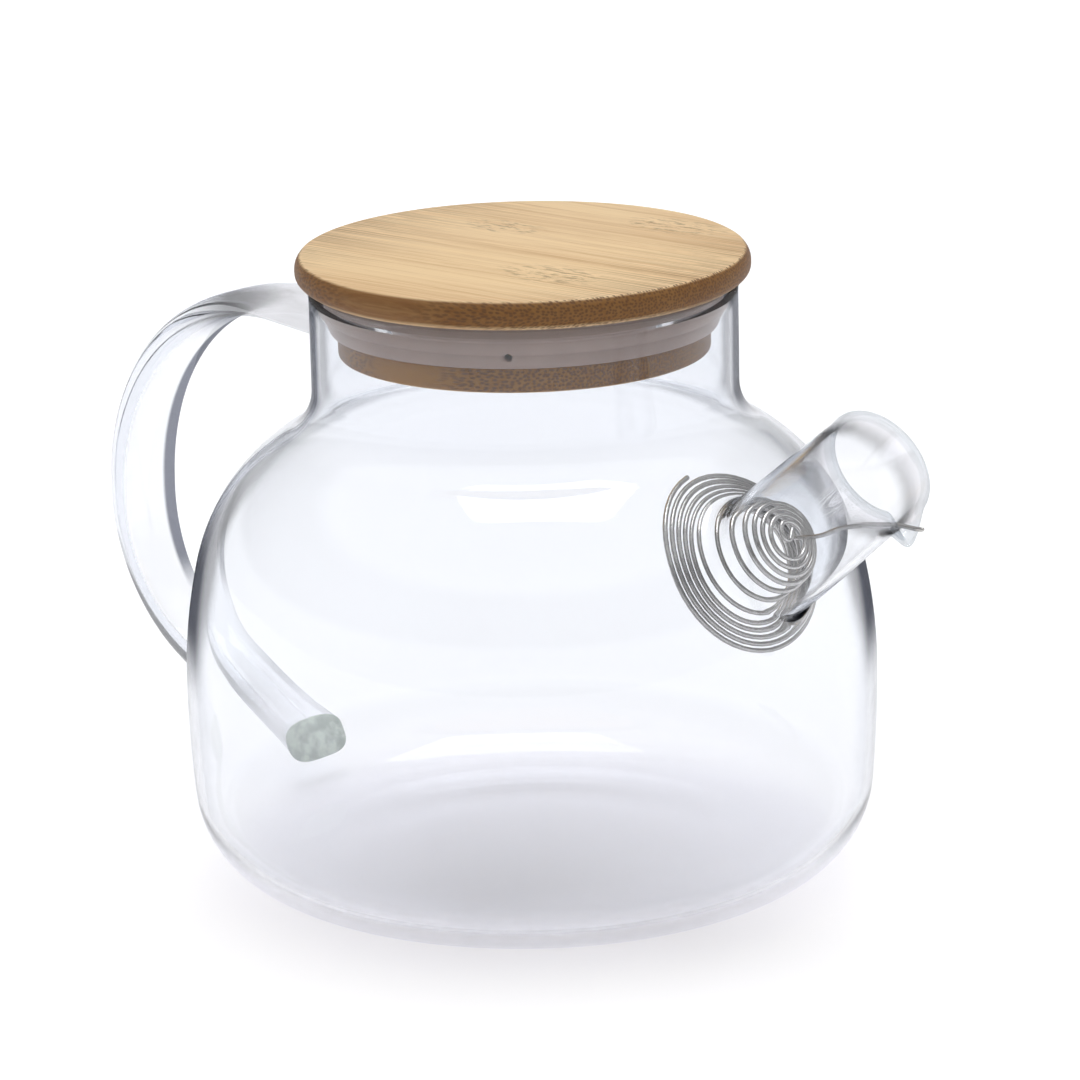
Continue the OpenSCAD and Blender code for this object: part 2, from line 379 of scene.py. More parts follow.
def add_rings(points_by_ring, start_ring, verts, faces):
    """Adds rings of points, bridged one by one from start_ring. Returns the last ring."""
    previous = start_ring
    for points in points_by_ring:
        ring = list(range(len(verts), len(verts) + len(points)))
        verts.extend(points)
        bridge(previous, ring, faces)
        previous = ring
    return previous


def spout_rings():
    """Rings of points from the outer root over the rim to the inner root, without the two roots."""
    bead_r = TUBE_R - TUBE_WALL / 2
    bead_a = math.degrees(math.acos(TUBE_WALL / 2 / RIM_BEAD))
    bead_u = -RIM_BEAD * sin(bead_a)
    columns = []
    for phi in (360 * k / RINGS for k in range(RINGS)):
        out, inn = root_curve(phi, False), root_curve(phi, True)
        column = [tuple(p) for p in out[1:]]
        u0 = out[-1][1]
        for k in range(1, TUBE_STEPS + 1):
            u = u0 + (bead_u - u0) * math.sin(math.pi / 2 * k / TUBE_STEPS)
            column.append((tube_radius(u, False), u))
        for k in range(1, BEAD_STEPS):
            a = -bead_a + (180 + 2 * bead_a) * k / BEAD_STEPS
            column.append((bead_r + RIM_BEAD * cos(a), RIM_BEAD * sin(a)))
        u0 = inn[-1][1]
        for k in range(TUBE_STEPS + 1):
            u = bead_u + (u0 - bead_u) * (1 - math.cos(math.pi / 2 * k / TUBE_STEPS))
            column.append((tube_radius(u, True), u))
        column += [tuple(p) for p in inn[-2:0:-1]]
        columns.append([with_lip(rho, phi, u) for rho, u in column])
    return [list(ring) for ring in zip(*columns)]


def mouth_rings():
    """Rounded, slightly flared rim between the outer and the inner neck."""
    centre, radius = OUT.neck_r - WALL / 2 + MOUTH_FLARE, WALL / 2 + MOUTH_SWELL
    points = arc(centre, MOUTH_Z - radius, radius, MOUTH_START, 180 - MOUTH_START, MOUTH_STEPS)
    return [circle(r, z, COLUMNS) for r, z in points]


def build_vessel(material, inner, rim):
    """One closed mesh. Its faces take the outer glass, the inner glass, or that of the beads."""
    verts, faces = [], []
    root_out, neck_out = surface(False, verts, faces)
    outer_faces = len(faces)
    root_in, neck_in = surface(True, verts, faces)
    inner_faces = len(faces)
    bridge(add_rings(spout_rings(), root_out, verts, faces), root_in, faces)
    bridge(add_rings(mouth_rings(), neck_out, verts, faces), neck_in, faces)
    vessel = make_object("glass_vessel", verts, faces, material)
    face_outwards(vessel)
    vessel.data.materials.append(inner)
    vessel.data.materials.append(rim)
    for poly in vessel.data.polygons:
        place = np.array(poly.center) / MM
        u, w = float((place - RIM) @ AXIS), float((place - RIM) @ UNDER)
        at_lip = w > TUBE_R + LIP_ZONE and u > -LIP_BACK - LIP_BEHIND
        if u > -BEAD_ZONE or at_lip or place[2] > MOUTH_Z - MOUTH_ZONE:
            poly.material_index = 2
        else:
            poly.material_index = 1 if outer_faces <= poly.index < inner_faces else 0
    return vessel


# ---------------- handle
CREST_Z = 106.9
BOW_R, BOW_X = 47.4, -69.4
BOW_Z = CREST_Z - BOW_R
CROWN_FALL = 4.35            # slope of the run to the neck, degrees
CROWN_RUN = 24.0             # length of the run to the neck
HEEL_R, HEEL_SWEEP, BACK_LEN = 36.5, 66.0, 1.5
HEEL_X, HEEL_Z = BOW_X - BOW_R + HEEL_R, BOW_Z - BACK_LEN
CROWN_STEPS, BOW_STEPS, HEEL_STEPS = 10, 60, 40
STRAP_T = 5.4
STRAP_W_NECK, STRAP_W, STRAP_W_FOOT = 18.6, 17.0, 14.6
SECTION_POINTS = 48
SECTION_POWER = 0.68         # squareness of the strap's section
WELD_RUN = 7.0               # the last stretch of the strap, where it flares into its weld
WELD_STEPS = 12
WELD_DEPTH = 0.3             # the weld reaches this far into the vessel's wall
WELD_REACH = (0.0, 40.0)     # ahead of the strap's end, where the vessel's wall is looked for
FLARE_NECK, FLARE_FOOT = 0.12, 0.16      # how much wider the welds are than the strap
FLARE_FROM, FLARE_POWER = 0.5, 2.5       # part of the weld's run where the flare starts


def handle_line():
    """Centre line of the strap from the neck to the lower weld: (x, z), tangent angle."""
    start = 90 - CROWN_FALL
    line = []
    for k in range(CROWN_STEPS + 1):
        back = (CROWN_RUN - WELD_RUN) * (1 - k / CROWN_STEPS)
        line.append((BOW_X + BOW_R * cos(start) + back * sin(start),
                     BOW_Z + BOW_R * sin(start) - back * cos(start), start + 90))
    for k in range(1, BOW_STEPS + 1):
        a = start + (180 - start) * k / BOW_STEPS
        line.append((BOW_X + BOW_R * cos(a), BOW_Z + BOW_R * sin(a), a + 90))
    for k in range(HEEL_STEPS + 1):
        a = 180 + HEEL_SWEEP * k / HEEL_STEPS
        line.append((HEEL_X + HEEL_R * cos(a), HEEL_Z + HEEL_R * sin(a), a + 90))
    return line


def strap_width(t):
    if t < 0.5:
        return STRAP_W_NECK + (STRAP_W - STRAP_W_NECK) * smooth(t * 2)
    return STRAP_W + (STRAP_W_FOOT - STRAP_W) * smooth(t * 2 - 1)


def strap_section(x, z, heading, width, scale=1.0):
    """Ring of points round the strap at (x, z), square to its heading."""
    out = np.array([sin(heading), 0.0, -cos(heading)])
    ring = []
    for k in range(SECTION_POINTS):
        a = 360 * k / SECTION_POINTS
        c, s = cos(a), sin(a)
        ring.append(np.array([x, 0.0, z])
                    + out * STRAP_T / 2 * scale * math.copysign(abs(c) ** SECTION_POWER, c)
                    + SIDE * width / 2 * scale * math.copysign(abs(s) ** SECTION_POWER, s))
    return ring


def to_vessel(point, direction):
    """Distance along direction from a point to just inside the vessel's outer surface."""
    return crossing(lambda t: -outside_of_body(point + t * direction) - WELD_DEPTH, *WELD_REACH)


def weld_rings(x, z, heading, width, sign, flare):
    """Rings from the end of the strap to its weld; they spread like a melted foot."""
    direction = sign * np.array([cos(heading), 0.0, sin(heading)])
    base = strap_section(x, z, heading, width)
    foot = strap_section(x, z, heading, width, 1 + flare)
    reach = [to_vessel(p, direction) for p in foot]
    rings = []
    for k in range(1, WELD_STEPS + 1):
        t = k / WELD_STEPS
        spread = max(0.0, (t - FLARE_FROM) / (1 - FLARE_FROM)) ** FLARE_POWER
        rings.append([b + (f - b) * spread + direction * d * t
                      for b, f, d in zip(base, foot, reach)])
    return rings


def build_handle(material, weld):
    """The strap with its two flared ends. The lower end's face takes the weld's material."""
    line = handle_line()
    strap = [strap_section(*place, strap_width(k / (len(line) - 1)))
             for k, place in enumerate(line)]
    neck = weld_rings(*line[0], STRAP_W_NECK, -1, FLARE_NECK)
    foot = weld_rings(*line[-1], STRAP_W_FOOT, 1, FLARE_FOOT)
    rings = neck[::-1] + strap + foot
    faces = grid_faces(len(rings), SECTION_POINTS)
    end_caps(faces, len(rings), SECTION_POINTS)
    handle = make_object("glass_strap_handle", [p for ring in rings for p in ring], faces, material)
    face_outwards(handle)
    handle.data.materials.append(weld)
    for poly in handle.data.polygons:
        if len(poly.vertices) > 4:
            poly.use_smooth = False
            poly.material_index = 1 if poly.center[2] < MM * RIM_Z / 2 else 0
    return handle


# ---------------- lid
EDGE_TOP, EDGE_LOWER, EDGE_POWER = 1.2, 2.4, 2.6   # how far the disc's edge draws in, and how soon
EDGE_STEPS, EDGE_FROM, EDGE_SPAN = 28, -0.97, 1.9  # over its height from -1 to 1
DISC_BREAK, DISC_UNDER = 0.35, 0.4       # short slopes beside the edge, above and below
PLUG_ROUND, PLUG_BREAK = 0.9, 0.4        # radii of the plug's lower and upper edge
FIN_TIP_R = OUT.neck_r - WALL - GAP
FIN_TAPER, FIN_DEPTH, FINS = 0.9, 0.3, 3
FIN_STEPS, FIN_POWER = 16, 0.7
VENT_ANGLE, VENT_Z, VENT_D, VENT_SIDES = -50.0, SEAL_Z + 2.4, 1.6, 24


def edge_radius(t):
    return LID_R - (EDGE_TOP if t > 0 else EDGE_LOWER) * abs(t) ** EDGE_POWER


def disc_outline():
    levels = (EDGE_FROM + EDGE_SPAN * k / EDGE_STEPS for k in range(EDGE_STEPS + 1))
    side = [(edge_radius(t), DISC_Z + (t + 1) * LID_T / 2) for t in levels]
    return ([(0, DISC_Z), (side[0][0] - DISC_UNDER, DISC_Z)] + side
            + [(side[-1][0] - DISC_BREAK, DISC_Z + LID_T), (0, DISC_Z + LID_T)])


def plug_outline():
    top = PLUG_Z + PLUG_T
    return ([(0, PLUG_Z)]
            + arc(PLUG_R - PLUG_ROUND, PLUG_Z + PLUG_ROUND, PLUG_ROUND, -90, 0, 8)
            + arc(PLUG_R - PLUG_BREAK, top - PLUG_BREAK, PLUG_BREAK, 0, 90, 5)
            + [(GROOVE_R, top), (GROOVE_R, DISC_Z), (0, DISC_Z)])


def seal_outline():
    """Fins as rounded swells on a cone, each lower one smaller."""
    steps = FIN_STEPS * FINS
    outline = []
    for k in range(steps + 1):
        t = k / steps
        tip = FIN_TIP_R - FIN_TAPER * (1 - t) * (FINS - 1)
        swell = abs(math.sin(math.pi * (1 - t) * FINS)) ** FIN_POWER
        outline.append((tip - FIN_DEPTH * (1 - swell), SEAL_Z + SEAL_H * t))
    return outline


def build_seal(material):
    """Ring with a closed section: a straight bore and the finned outside, with the vent cut."""
    bore = GROOVE_R + GAP
    loop = [(bore, SEAL_Z)] + seal_outline() + [(bore, SEAL_Z + SEAL_H)]
    verts = [p for r, z in loop for p in circle(r, z, ROUND_STEPS)]
    faces = grid_faces(len(loop), ROUND_STEPS)
    last = (len(loop) - 1) * ROUND_STEPS
    bridge(range(last, last + ROUND_STEPS), range(ROUND_STEPS), faces)
    seal = make_object("silicone_seal", verts, faces, material)
    face_outwards(seal)
    cut_vent(seal, material)
    return seal


def cut_vent(seal, material):
    """Cuts the small round vent through the side of the seal."""
    out = np.array([cos(VENT_ANGLE), sin(VENT_ANGLE), 0.0])
    along = np.array([-sin(VENT_ANGLE), cos(VENT_ANGLE), 0.0])
    up = np.array([0.0, 0.0, 1.0])
    verts = [r * out + VENT_D / 2 * (cos(a) * along + sin(a) * up) + VENT_Z * up
             for r in (GROOVE_R - 1, LID_R)
             for a in (360 * k / VENT_SIDES for k in range(VENT_SIDES))]
    faces = grid_faces(2, VENT_SIDES)
    end_caps(faces, 2, VENT_SIDES)
    cutter = make_object("vent_cutter", verts, faces, material)
    face_outwards(cutter)
    vent = seal.modifiers.new("vent", "BOOLEAN")
    vent.operation, vent.solver, vent.object = "DIFFERENCE", "EXACT", cutter
    depsgraph = bpy.context.evaluated_depsgraph_get()
    mesh = bpy.data.meshes.new_from_object(seal.evaluated_get(depsgraph))
    seal.modifiers.clear()
    seal.data = mesh
    bpy.data.objects.remove(cutter)


# ---------------- strainer
WIRE_R, LEG_R = 0.5, 0.45
WIRE_SIDES = 12
WIRE_DOME = ((0.5, 0.87), (0.87, 0.5))   # rings of its round ends: ahead and radius, by its own
SIDE_SEED = (0.3, 0.9, 0.2)              # any direction that no wire starts along
COIL_X, COIL_Z, COIL_TILT = 57.1, 74.4, 28.5
FLANGE_R, FLANGE_BOW = 18.6, 2.5
COIL_TURNS, COIL_START, COIL_STEPS = 12, 190.0, 48
# radius and depth of the coil by its turns: a flat flange, a barrel and a cap
COIL_RADIUS = ((0, FLANGE_R), (5, 12), (6, 9.8), (7, 9.2), (8, 8.7), (9, 7.8), (12, 3.3))
COIL_DEPTH = ((0, 0), (5, 1.6), (6, 5.2), (7, 9.2), (8, 12.5), (9, 14.2), (12, 15.8))
TAIL_TURN, TAIL_STEPS, BAR_LEN = 0.36, 16, 2.0     # the wire's end crosses the cap
# the leg's way under and along the spout's axis, from the rim's centre
LEG_BENDS = ((3.2, -21.5), (4.6, -16), (6.7, -11.2), (8.9, -7.2), (11.2, -3.3),
             (14, 0.2), (14.95, 1.63))
LEG_STEPS, LEG_SKIP = 8, 2               # the first points would lie inside the cap


def lookup(t, table):
    return float(np.interp(t, [p[0] for p in table], [p[1] for p in table]))


def coil_point(turn, r):
    """Point of the coil in its own frame: two ways across the coil's axis and one along it."""
    a = COIL_START + 360 * turn
    x = r * cos(a)
    depth = lookup(min(turn, COIL_TURNS), COIL_DEPTH)
    return x, r * sin(a), depth - FLANGE_BOW * max(0.0, -x / FLANGE_R) ** 2


def coil_path():
    turns = (k / COIL_STEPS for k in range(COIL_TURNS * COIL_STEPS + 1))
    path = [coil_point(turn, lookup(turn, COIL_RADIUS)) for turn in turns]
    end = lookup(COIL_TURNS, COIL_RADIUS)
    path += [coil_point(COIL_TURNS + TAIL_TURN * t, end * (1 - t))
             for t in (k / TAIL_STEPS for k in range(1, TAIL_STEPS + 1))]
    path.append(coil_point(COIL_TURNS + TAIL_TURN, -BAR_LEN))
    along = np.array([cos(COIL_TILT), 0, sin(COIL_TILT)])
    under = np.array([sin(COIL_TILT), 0, -cos(COIL_TILT)])
    return [np.array([COIL_X, 0, COIL_Z]) + x * under + y * SIDE + z * along for x, y, z in path]


def round_path(points):
    """Catmull-Rom curve through the points."""
    pts = [points[0]] + list(points) + [points[-1]]
    out = []
    for i in range(1, len(pts) - 2):
        p0, p1, p2, p3 = (np.array(p, float) for p in pts[i - 1:i + 3])
        for k in range(LEG_STEPS):
            t = k / LEG_STEPS
            out.append(0.5 * (2 * p1 + (p2 - p0) * t + (2 * p0 - 5 * p1 + 4 * p2 - p3) * t * t
                              + (3 * p1 - p0 - 3 * p2 + p3) * t ** 3))
    out.append(np.array(points[-1], float))
    return out


def leg_path():
    depth = lookup(COIL_TURNS, COIL_DEPTH)
    cap = np.array([COIL_X + depth * cos(COIL_TILT), 0, COIL_Z + depth * sin(COIL_TILT)]) - RIM
    path = round_path([(float(cap @ UNDER), float(cap @ AXIS))] + list(LEG_BENDS))
    return [RIM + w * UNDER + u * AXIS for w, u in path][LEG_SKIP:]


def sweep(name, path, radius, material):
    """Round wire with domed ends along a path."""
    tangents = [path[min(i + 1, len(path) - 1)] - path[max(i - 1, 0)] for i in range(len(path))]
    tangents = [t / np.linalg.norm(t) for t in tangents]
    side = np.cross(tangents[0], SIDE_SEED)
    side /= np.linalg.norm(side)
    rings = []
    for p, t in zip(path, tangents):
        side = side - np.dot(side, t) * t
        side /= np.linalg.norm(side)
        rings.append((p, t, side, radius))
    p, t, side, _ = rings[0]
    first = [(p - t * radius * a, t, side, radius * b) for a, b in WIRE_DOME[::-1]]
    p, t, side, _ = rings[-1]
    rings = first + rings + [(p + t * radius * a, t, side, radius * b) for a, b in WIRE_DOME]
    verts = []
    for p, t, s, r in rings:
        up = np.cross(t, s)
        verts += [p + r * (math.cos(a) * s + math.sin(a) * up)
                  for a in (2 * math.pi * k / WIRE_SIDES for k in range(WIRE_SIDES))]
    faces = grid_faces(len(rings), WIRE_SIDES)
    end_fans(verts, faces, path[0] - tangents[0] * radius, path[-1] + tangents[-1] * radius,
             WIRE_SIDES)
    wire = make_object(name, verts, faces, material)
    face_outwards(wire)
    return wire


# ---------------- node helpers
def new_material(name, kind="ShaderNodeBsdfPrincipled"):
    """A material with one shader linked to its output. Returns it, its tree and the shader."""
    mat = bpy.data.materials.new(name)
    mat.use_nodes = True
    tree = mat.node_tree
    tree.nodes.clear()
    out = tree.nodes.new("ShaderNodeOutputMaterial")
    shader = tree.nodes.new(kind)
    tree.links.new(shader.outputs[0], out.inputs[0])
    return mat, tree, shader


def feed(tree, socket, value):
    """Links a socket, or sets its number or vector."""
    if isinstance(value, bpy.types.NodeSocket):
        tree.links.new(value, socket)
    else:
        socket.default_value = value


def fill(node, values):
    """Sets a node's inputs by their names."""
    for name, value in values.items():
        node.inputs[name].default_value = value


def calc(tree, operation, *values, clamp=False):
    n = tree.nodes.new("ShaderNodeMath")
    n.operation, n.use_clamp = operation, clamp
    for socket, value in zip(n.inputs, values):
        feed(tree, socket, value)
    return n.outputs[0]


def vector(tree, operation, *values):
    n = tree.nodes.new("ShaderNodeVectorMath")
    n.operation = operation
    for socket, value in zip(n.inputs, values):
        feed(tree, socket, value)
    return n.outputs["Value"] if operation == "DOT_PRODUCT" else n.outputs["Vector"]


def rise(tree, value, low, high, top=1.0):
    """Smooth step from 0 at low to top at high; it falls where high is below low."""
    n = tree.nodes.new("ShaderNodeMapRange")
    n.interpolation_type = "SMOOTHSTEP"
    start, end = (0.0, top) if low < high else (top, 0.0)
    for socket, number in zip(n.inputs, (value, min(low, high), max(low, high), start, end)):
        feed(tree, socket, number)
    return n.outputs[0]


def blend(tree, factor, first, second, mode="MIX"):
    n = tree.nodes.new("ShaderNodeMix")
    n.data_type, n.blend_type = "RGBA", mode
    for name, value in (("Factor_Float", factor), ("A_Color", first), ("B_Color", second)):
        socket = next(i for i in n.inputs if i.identifier == name)
        plain = isinstance(value, (float, bpy.types.NodeSocket))
        feed(tree, socket, value if plain else (*value, 1))
    return next(o for o in n.outputs if o.identifier == "Result_Color")


def noise(tree, coords, scale=1.0, detail=2.0, roughness=0.5, stretch=(1, 1, 1)):
    n = tree.nodes.new("ShaderNodeTexNoise")
    fill(n, {"Scale": scale, "Detail": detail, "Roughness": roughness})
    feed(tree, n.inputs["Vector"], vector(tree, "MULTIPLY", coords, stretch))
    return n.outputs["Fac"]


def bump(tree, shader, height, strength, distance):
    n = tree.nodes.new("ShaderNodeBump")
    fill(n, {"Strength": strength, "Distance": distance})
    feed(tree, n.inputs["Height"], height)
    tree.links.new(n.outputs[0], shader.inputs["Normal"])


def uneven_gloss(tree, shader, pattern, least, more):
    """Roughness that goes from least to least + more by a pattern."""
    roughness = calc(tree, "ADD", least, calc(tree, "MULTIPLY", pattern, more))
    tree.links.new(roughness, shader.inputs["Roughness"])


def object_mm(tree):
    """Place on the piece in millimetres, in the frame of the teapot."""
    coords = tree.nodes.new("ShaderNodeTexCoord").outputs["Object"]
    return scaled(tree, coords, 1 / MM)


def scaled(tree, value, factor):
    n = tree.nodes.new("ShaderNodeVectorMath")
    n.operation = "SCALE"
    feed(tree, n.inputs[0], value)
    feed(tree, n.inputs["Scale"], factor)
    return n.outputs["Vector"]


def joined(tree, *values):
    n = tree.nodes.new("ShaderNodeCombineXYZ")
    for socket, value in zip(n.inputs, values):
        feed(tree, socket, value)
    return n.outputs[0]


def axes(tree, value):
    n = tree.nodes.new("ShaderNodeSeparateXYZ")
    feed(tree, n.inputs[0], value)
    return n.outputs


# ---------------- glass
GLASS_IOR = 1.47
GLASS_SHADE = (0.970, 0.970, 0.984)      # light that one surface passes on to the floor
RIPPLE_SCALE, RIPPLE_STRENGTH, RIPPLE_DEPTH = 0.028, 0.15, 0.0006
# heights over which the painted edge shade comes in, goes out, and comes back at the neck
EDGE_LOW, EDGE_HIGH, NECK_EDGE = (40, 56), (92, 66), (92, 100)
NECK_STRENGTH = 0.8
# painted shade: the neck's glass is a darker grey, standing in for dark surroundings seen in it
NECK_SHADE = (0.930, 0.938, 0.953)
SPOUT_FADE = (78.0, 70.5)    # distance from the axis over which the body's painted edge shade fades
RIM_CALM, RIM_CALM_MOST = (-9, -2), 0.75           # along the spout, from its rim
# painted shade, a grey band inside the strap: y, heights, and how far a face looks to the loop's
# centre
SIDE_BAND, SIDE_LOW, SIDE_HIGH = (3.0, 4.2), (34, 44), (106, 97)
SIDE_FACING = (0.35, 0.7)

# painted shade: the edge greys below stand in for dark surroundings seen in steep glass
CLEAR, FAINT_EDGE_SHADE, RIM_TINT = (0.967, 0.973, 0.983), (0.90, 0.91, 0.93), (0.93, 0.94, 0.95)
BODY_EDGE_SHADE = (0.11, 0.115, 0.135)
STRAP_CLEAR, STRAP_EDGE_SHADE = (0.945, 0.953, 0.968), (0.60, 0.62, 0.67)
# painted shade of the grey band inside the strap
STRAP_BAND_SHADE = (0.26, 0.27, 0.31)
BEAD_SHADE = (0.86, 0.875, 0.89)
BODY_STEEP, BEAD_STEEP = (0.17, 0.33), (0.2, 0.6)  # mirror share at which the painted edge shade comes in
# calm share: by height or by distance from the axis, where it starts, where it is full, how much
FOOT_CALM, FLOOR_CALM = (True, 15.0, 5.0, 0.8), (True, 9.0, 3.0, 0.35)
BEAD_CALM, STRAP_CALM = (True, -2.0, -1.0, 0.85), (False, 96.0, 76.0, 0.62)


def strap_shade_band(tree, place, normal, entering):
    """How much of the painted shade band inside the strap shows at a place."""
    _, y, z = axes(tree, place)
    to_centre = vector(tree, "SUBTRACT", (BOW_X, 0, BOW_Z), place)
    facing = vector(tree, "DOT_PRODUCT", vector(tree, "NORMALIZE", to_centre), normal)
    band = calc(tree, "MULTIPLY", rise(tree, y, *SIDE_BAND), rise(tree, facing, *SIDE_FACING))
    band = calc(tree, "MULTIPLY", band, entering)
    band = calc(tree, "MULTIPLY", band, rise(tree, z, *SIDE_LOW))
    return calc(tree, "MULTIPLY", band, rise(tree, z, *SIDE_HIGH))


def glass_material(name, clear, dark, faint, steep_from, calm, band_shade=None, shade=GLASS_SHADE):
    """Clear glass. Steep edges get painted shade, a grey standing in for dark surroundings seen in
    the
    glass: dark round the middle and the neck, faint elsewhere. The neck's glass is painted a darker
    grey too. The calm share lets light straight through, where the wall is a thin bead or a tight
    corner."""
    mat, tree, glass = new_material(name, "ShaderNodeBsdfGlass")
    fill(glass, {"IOR": GLASS_IOR, "Roughness": 0.0})
    place = object_mm(tree)
    x, y, z = axes(tree, place)
    from_axis = calc(tree, "SQRT", calc(tree, "ADD", calc(tree, "MULTIPLY", x, x),
                                        calc(tree, "MULTIPLY", y, y)))
    mirror = tree.nodes.new("ShaderNodeFresnel")
    mirror.inputs["IOR"].default_value = GLASS_IOR
    geometry = tree.nodes.new("ShaderNodeNewGeometry").outputs
    entering = calc(tree, "SUBTRACT", 1.0, geometry["Backfacing"])

    # painted shade: steep edges turn grey, strongest round the middle and the neck
    steep = calc(tree, "MULTIPLY", rise(tree, mirror.outputs[0], *steep_from), entering)
    middle = calc(tree, "MULTIPLY", rise(tree, z, *EDGE_LOW), rise(tree, z, *EDGE_HIGH))
    strong = calc(tree, "MAXIMUM", middle, rise(tree, z, *NECK_EDGE, NECK_STRENGTH))
    strong = calc(tree, "MULTIPLY", strong, rise(tree, from_axis, *SPOUT_FADE))
    # painted shade: the glass turns a darker grey up the neck
    body = blend(tree, rise(tree, z, *NECK_EDGE), clear, NECK_SHADE)
    color = blend(tree, steep, body, blend(tree, strong, faint, dark))
    # painted shade: a grey band inside the strap's loop
    if band_shade:
        color = blend(tree, strap_shade_band(tree, place, geometry["Normal"], entering), color, band_shade)
    tree.links.new(color, glass.inputs["Color"])
    ripple = noise(tree, place, RIPPLE_SCALE, detail=1.0, roughness=0.4)
    bump(tree, glass, ripple, RIPPLE_STRENGTH, RIPPLE_DEPTH)

    through = tree.nodes.new("ShaderNodeBsdfTransparent")
    through.inputs["Color"].default_value = (*shade, 1)
    path = tree.nodes.new("ShaderNodeLightPath").outputs
    share = calc(tree, "MAXIMUM", path["Is Shadow Ray"], path["Is Diffuse Ray"])
    by_height, *calm_range = calm
    share = calc(tree, "MAXIMUM", share, rise(tree, z if by_height else from_axis, *calm_range))
    from_rim = vector(tree, "SUBTRACT", place, tuple(RIM))
    along = vector(tree, "DOT_PRODUCT", from_rim, tuple(AXIS))
    share = calc(tree, "MAXIMUM", share, rise(tree, along, *RIM_CALM, RIM_CALM_MOST))
    mix = tree.nodes.new("ShaderNodeMixShader")
    feed(tree, mix.inputs[0], share)
    tree.links.new(glass.outputs[0], mix.inputs[1])
    tree.links.new(through.outputs[0], mix.inputs[2])
    tree.links.new(mix.outputs[0], tree.get_output_node("ALL").inputs[0])
    return mat


def weld_material(name, color, deep):
    """The strap's melted end, cloudy and slightly green."""
    mat, tree, shader = new_material(name)
    cloud = noise(tree, object_mm(tree), scale=0.35)
    tone = blend(tree, rise(tree, cloud, 0.35, 0.65), color, deep)
    tree.links.new(tone, shader.inputs["Base Color"])
    fill(shader, {"Roughness": 0.15, "IOR": GLASS_IOR, "Transmission Weight": 0.45})
    bump(tree, shader, cloud, strength=0.5, distance=0.001)
    return mat


# ---------------- bamboo, silicone and steel
GRAIN_ANGLE = 6.0            # direction of the bamboo's fibres from +X, degrees
FIBRE_PITCH = 0.64           # mm between the fibre bundles in the end grain
FIBRE_JITTER, FIBRE_DOT = 0.7, (0.48, 0.2)         # their disorder, and the reach of their dots
DOTS_ON_TOP, DOTS_ON_ENDS = 0.04, 0.8
NODE_MARKS = ((18, -14, 14, 8), (-16, 14, 11, 6), (13, 33, 14, 7))   # along, across, half sizes
NODE_EDGE = (1.1, 0.1)
FLECK_LIMITS = (0.48, 0.64, 0.5)
SWIRL_SCALE, SWIRL = 0.16, 3.0           # mm that the fibres could sway
SWAY, SWAY_AT_NODES = 0.15, 0.45         # parts of it that they do
STREAKS, LINES = (0.014, 0.42, 0.42), (0.03, 2.3, 2.3)     # scale along, across and up
STRIPS, FLECKS = (0.004, 0.075, 0.02), (0.28, 1.1, 1.1)
STREAK_PART, LINE_PART, STRIP_PART, TONE_LIMITS = 0.7, 0.65, 0.5, (0.72, 1.2)
END_LIMITS, SHADED_SIDE_LIMITS = (0.06, 0.42), (0.97, 0.6)        # by the face's normal
SIDE_SHADE, END_SHADE_AND_GRAIN = (0.34, 0.24, 0.145), (0.29, 0.185, 0.085)   # painted shade on upright sides; the cut ends deeper, as end grain is darker too
# painted shade on the plug's upright sides, deeper on its cut ends
PLUG_SIDE_SHADE, PLUG_END_SHADE_AND_GRAIN = (0.38, 0.245, 0.06), (0.33, 0.205, 0.045)


FIBRE_WAY = (cos(GRAIN_ANGLE), sin(GRAIN_ANGLE), 0)
ACROSS_WAY = (-sin(GRAIN_ANGLE), cos(GRAIN_ANGLE), 0)


def node_marks(tree, along, across):
    """Patches where the culm's knots were cut."""
    marks = 0.0
    for x, y, length, width in NODE_MARKS:
        dx = calc(tree, "DIVIDE", calc(tree, "SUBTRACT", along, float(x)), float(length))
        dy = calc(tree, "DIVIDE", calc(tree, "SUBTRACT", across, float(y)), float(width))
        near = calc(tree, "ADD", calc(tree, "MULTIPLY", dx, dx), calc(tree, "MULTIPLY", dy, dy))
        marks = calc(tree, "ADD", marks, rise(tree, near, *NODE_EDGE))
    return marks


def swayed(tree, grain, marks):
    """The grain's places moved by a slow swirl, more at the marks."""
    swirl = tree.nodes.new("ShaderNodeTexNoise")
    fill(swirl, {"Scale": SWIRL_SCALE, "Detail": 3.0})
    feed(tree, swirl.inputs["Vector"], grain)
    bend = scaled(tree, vector(tree, "SUBTRACT", swirl.outputs["Color"], (0.5, 0.5, 0.5)), SWIRL)
    part = calc(tree, "ADD", SWAY, calc(tree, "MULTIPLY", marks, SWAY_AT_NODES))
    return vector(tree, "ADD", grain, scaled(tree, bend, part))


def fibre_dots(tree, grain):
    """Ends of the fibre bundles, as dots over the section across the grain."""
    bundle = tree.nodes.new("ShaderNodeTexVoronoi")
    bundle.voronoi_dimensions = "2D"
    fill(bundle, {"Scale": 1 / FIBRE_PITCH, "Randomness": FIBRE_JITTER})
    _, across, height = axes(tree, grain)
    feed(tree, bundle.inputs["Vector"], joined(tree, across, height))
    return rise(tree, bundle.outputs["Distance"], *FIBRE_DOT)


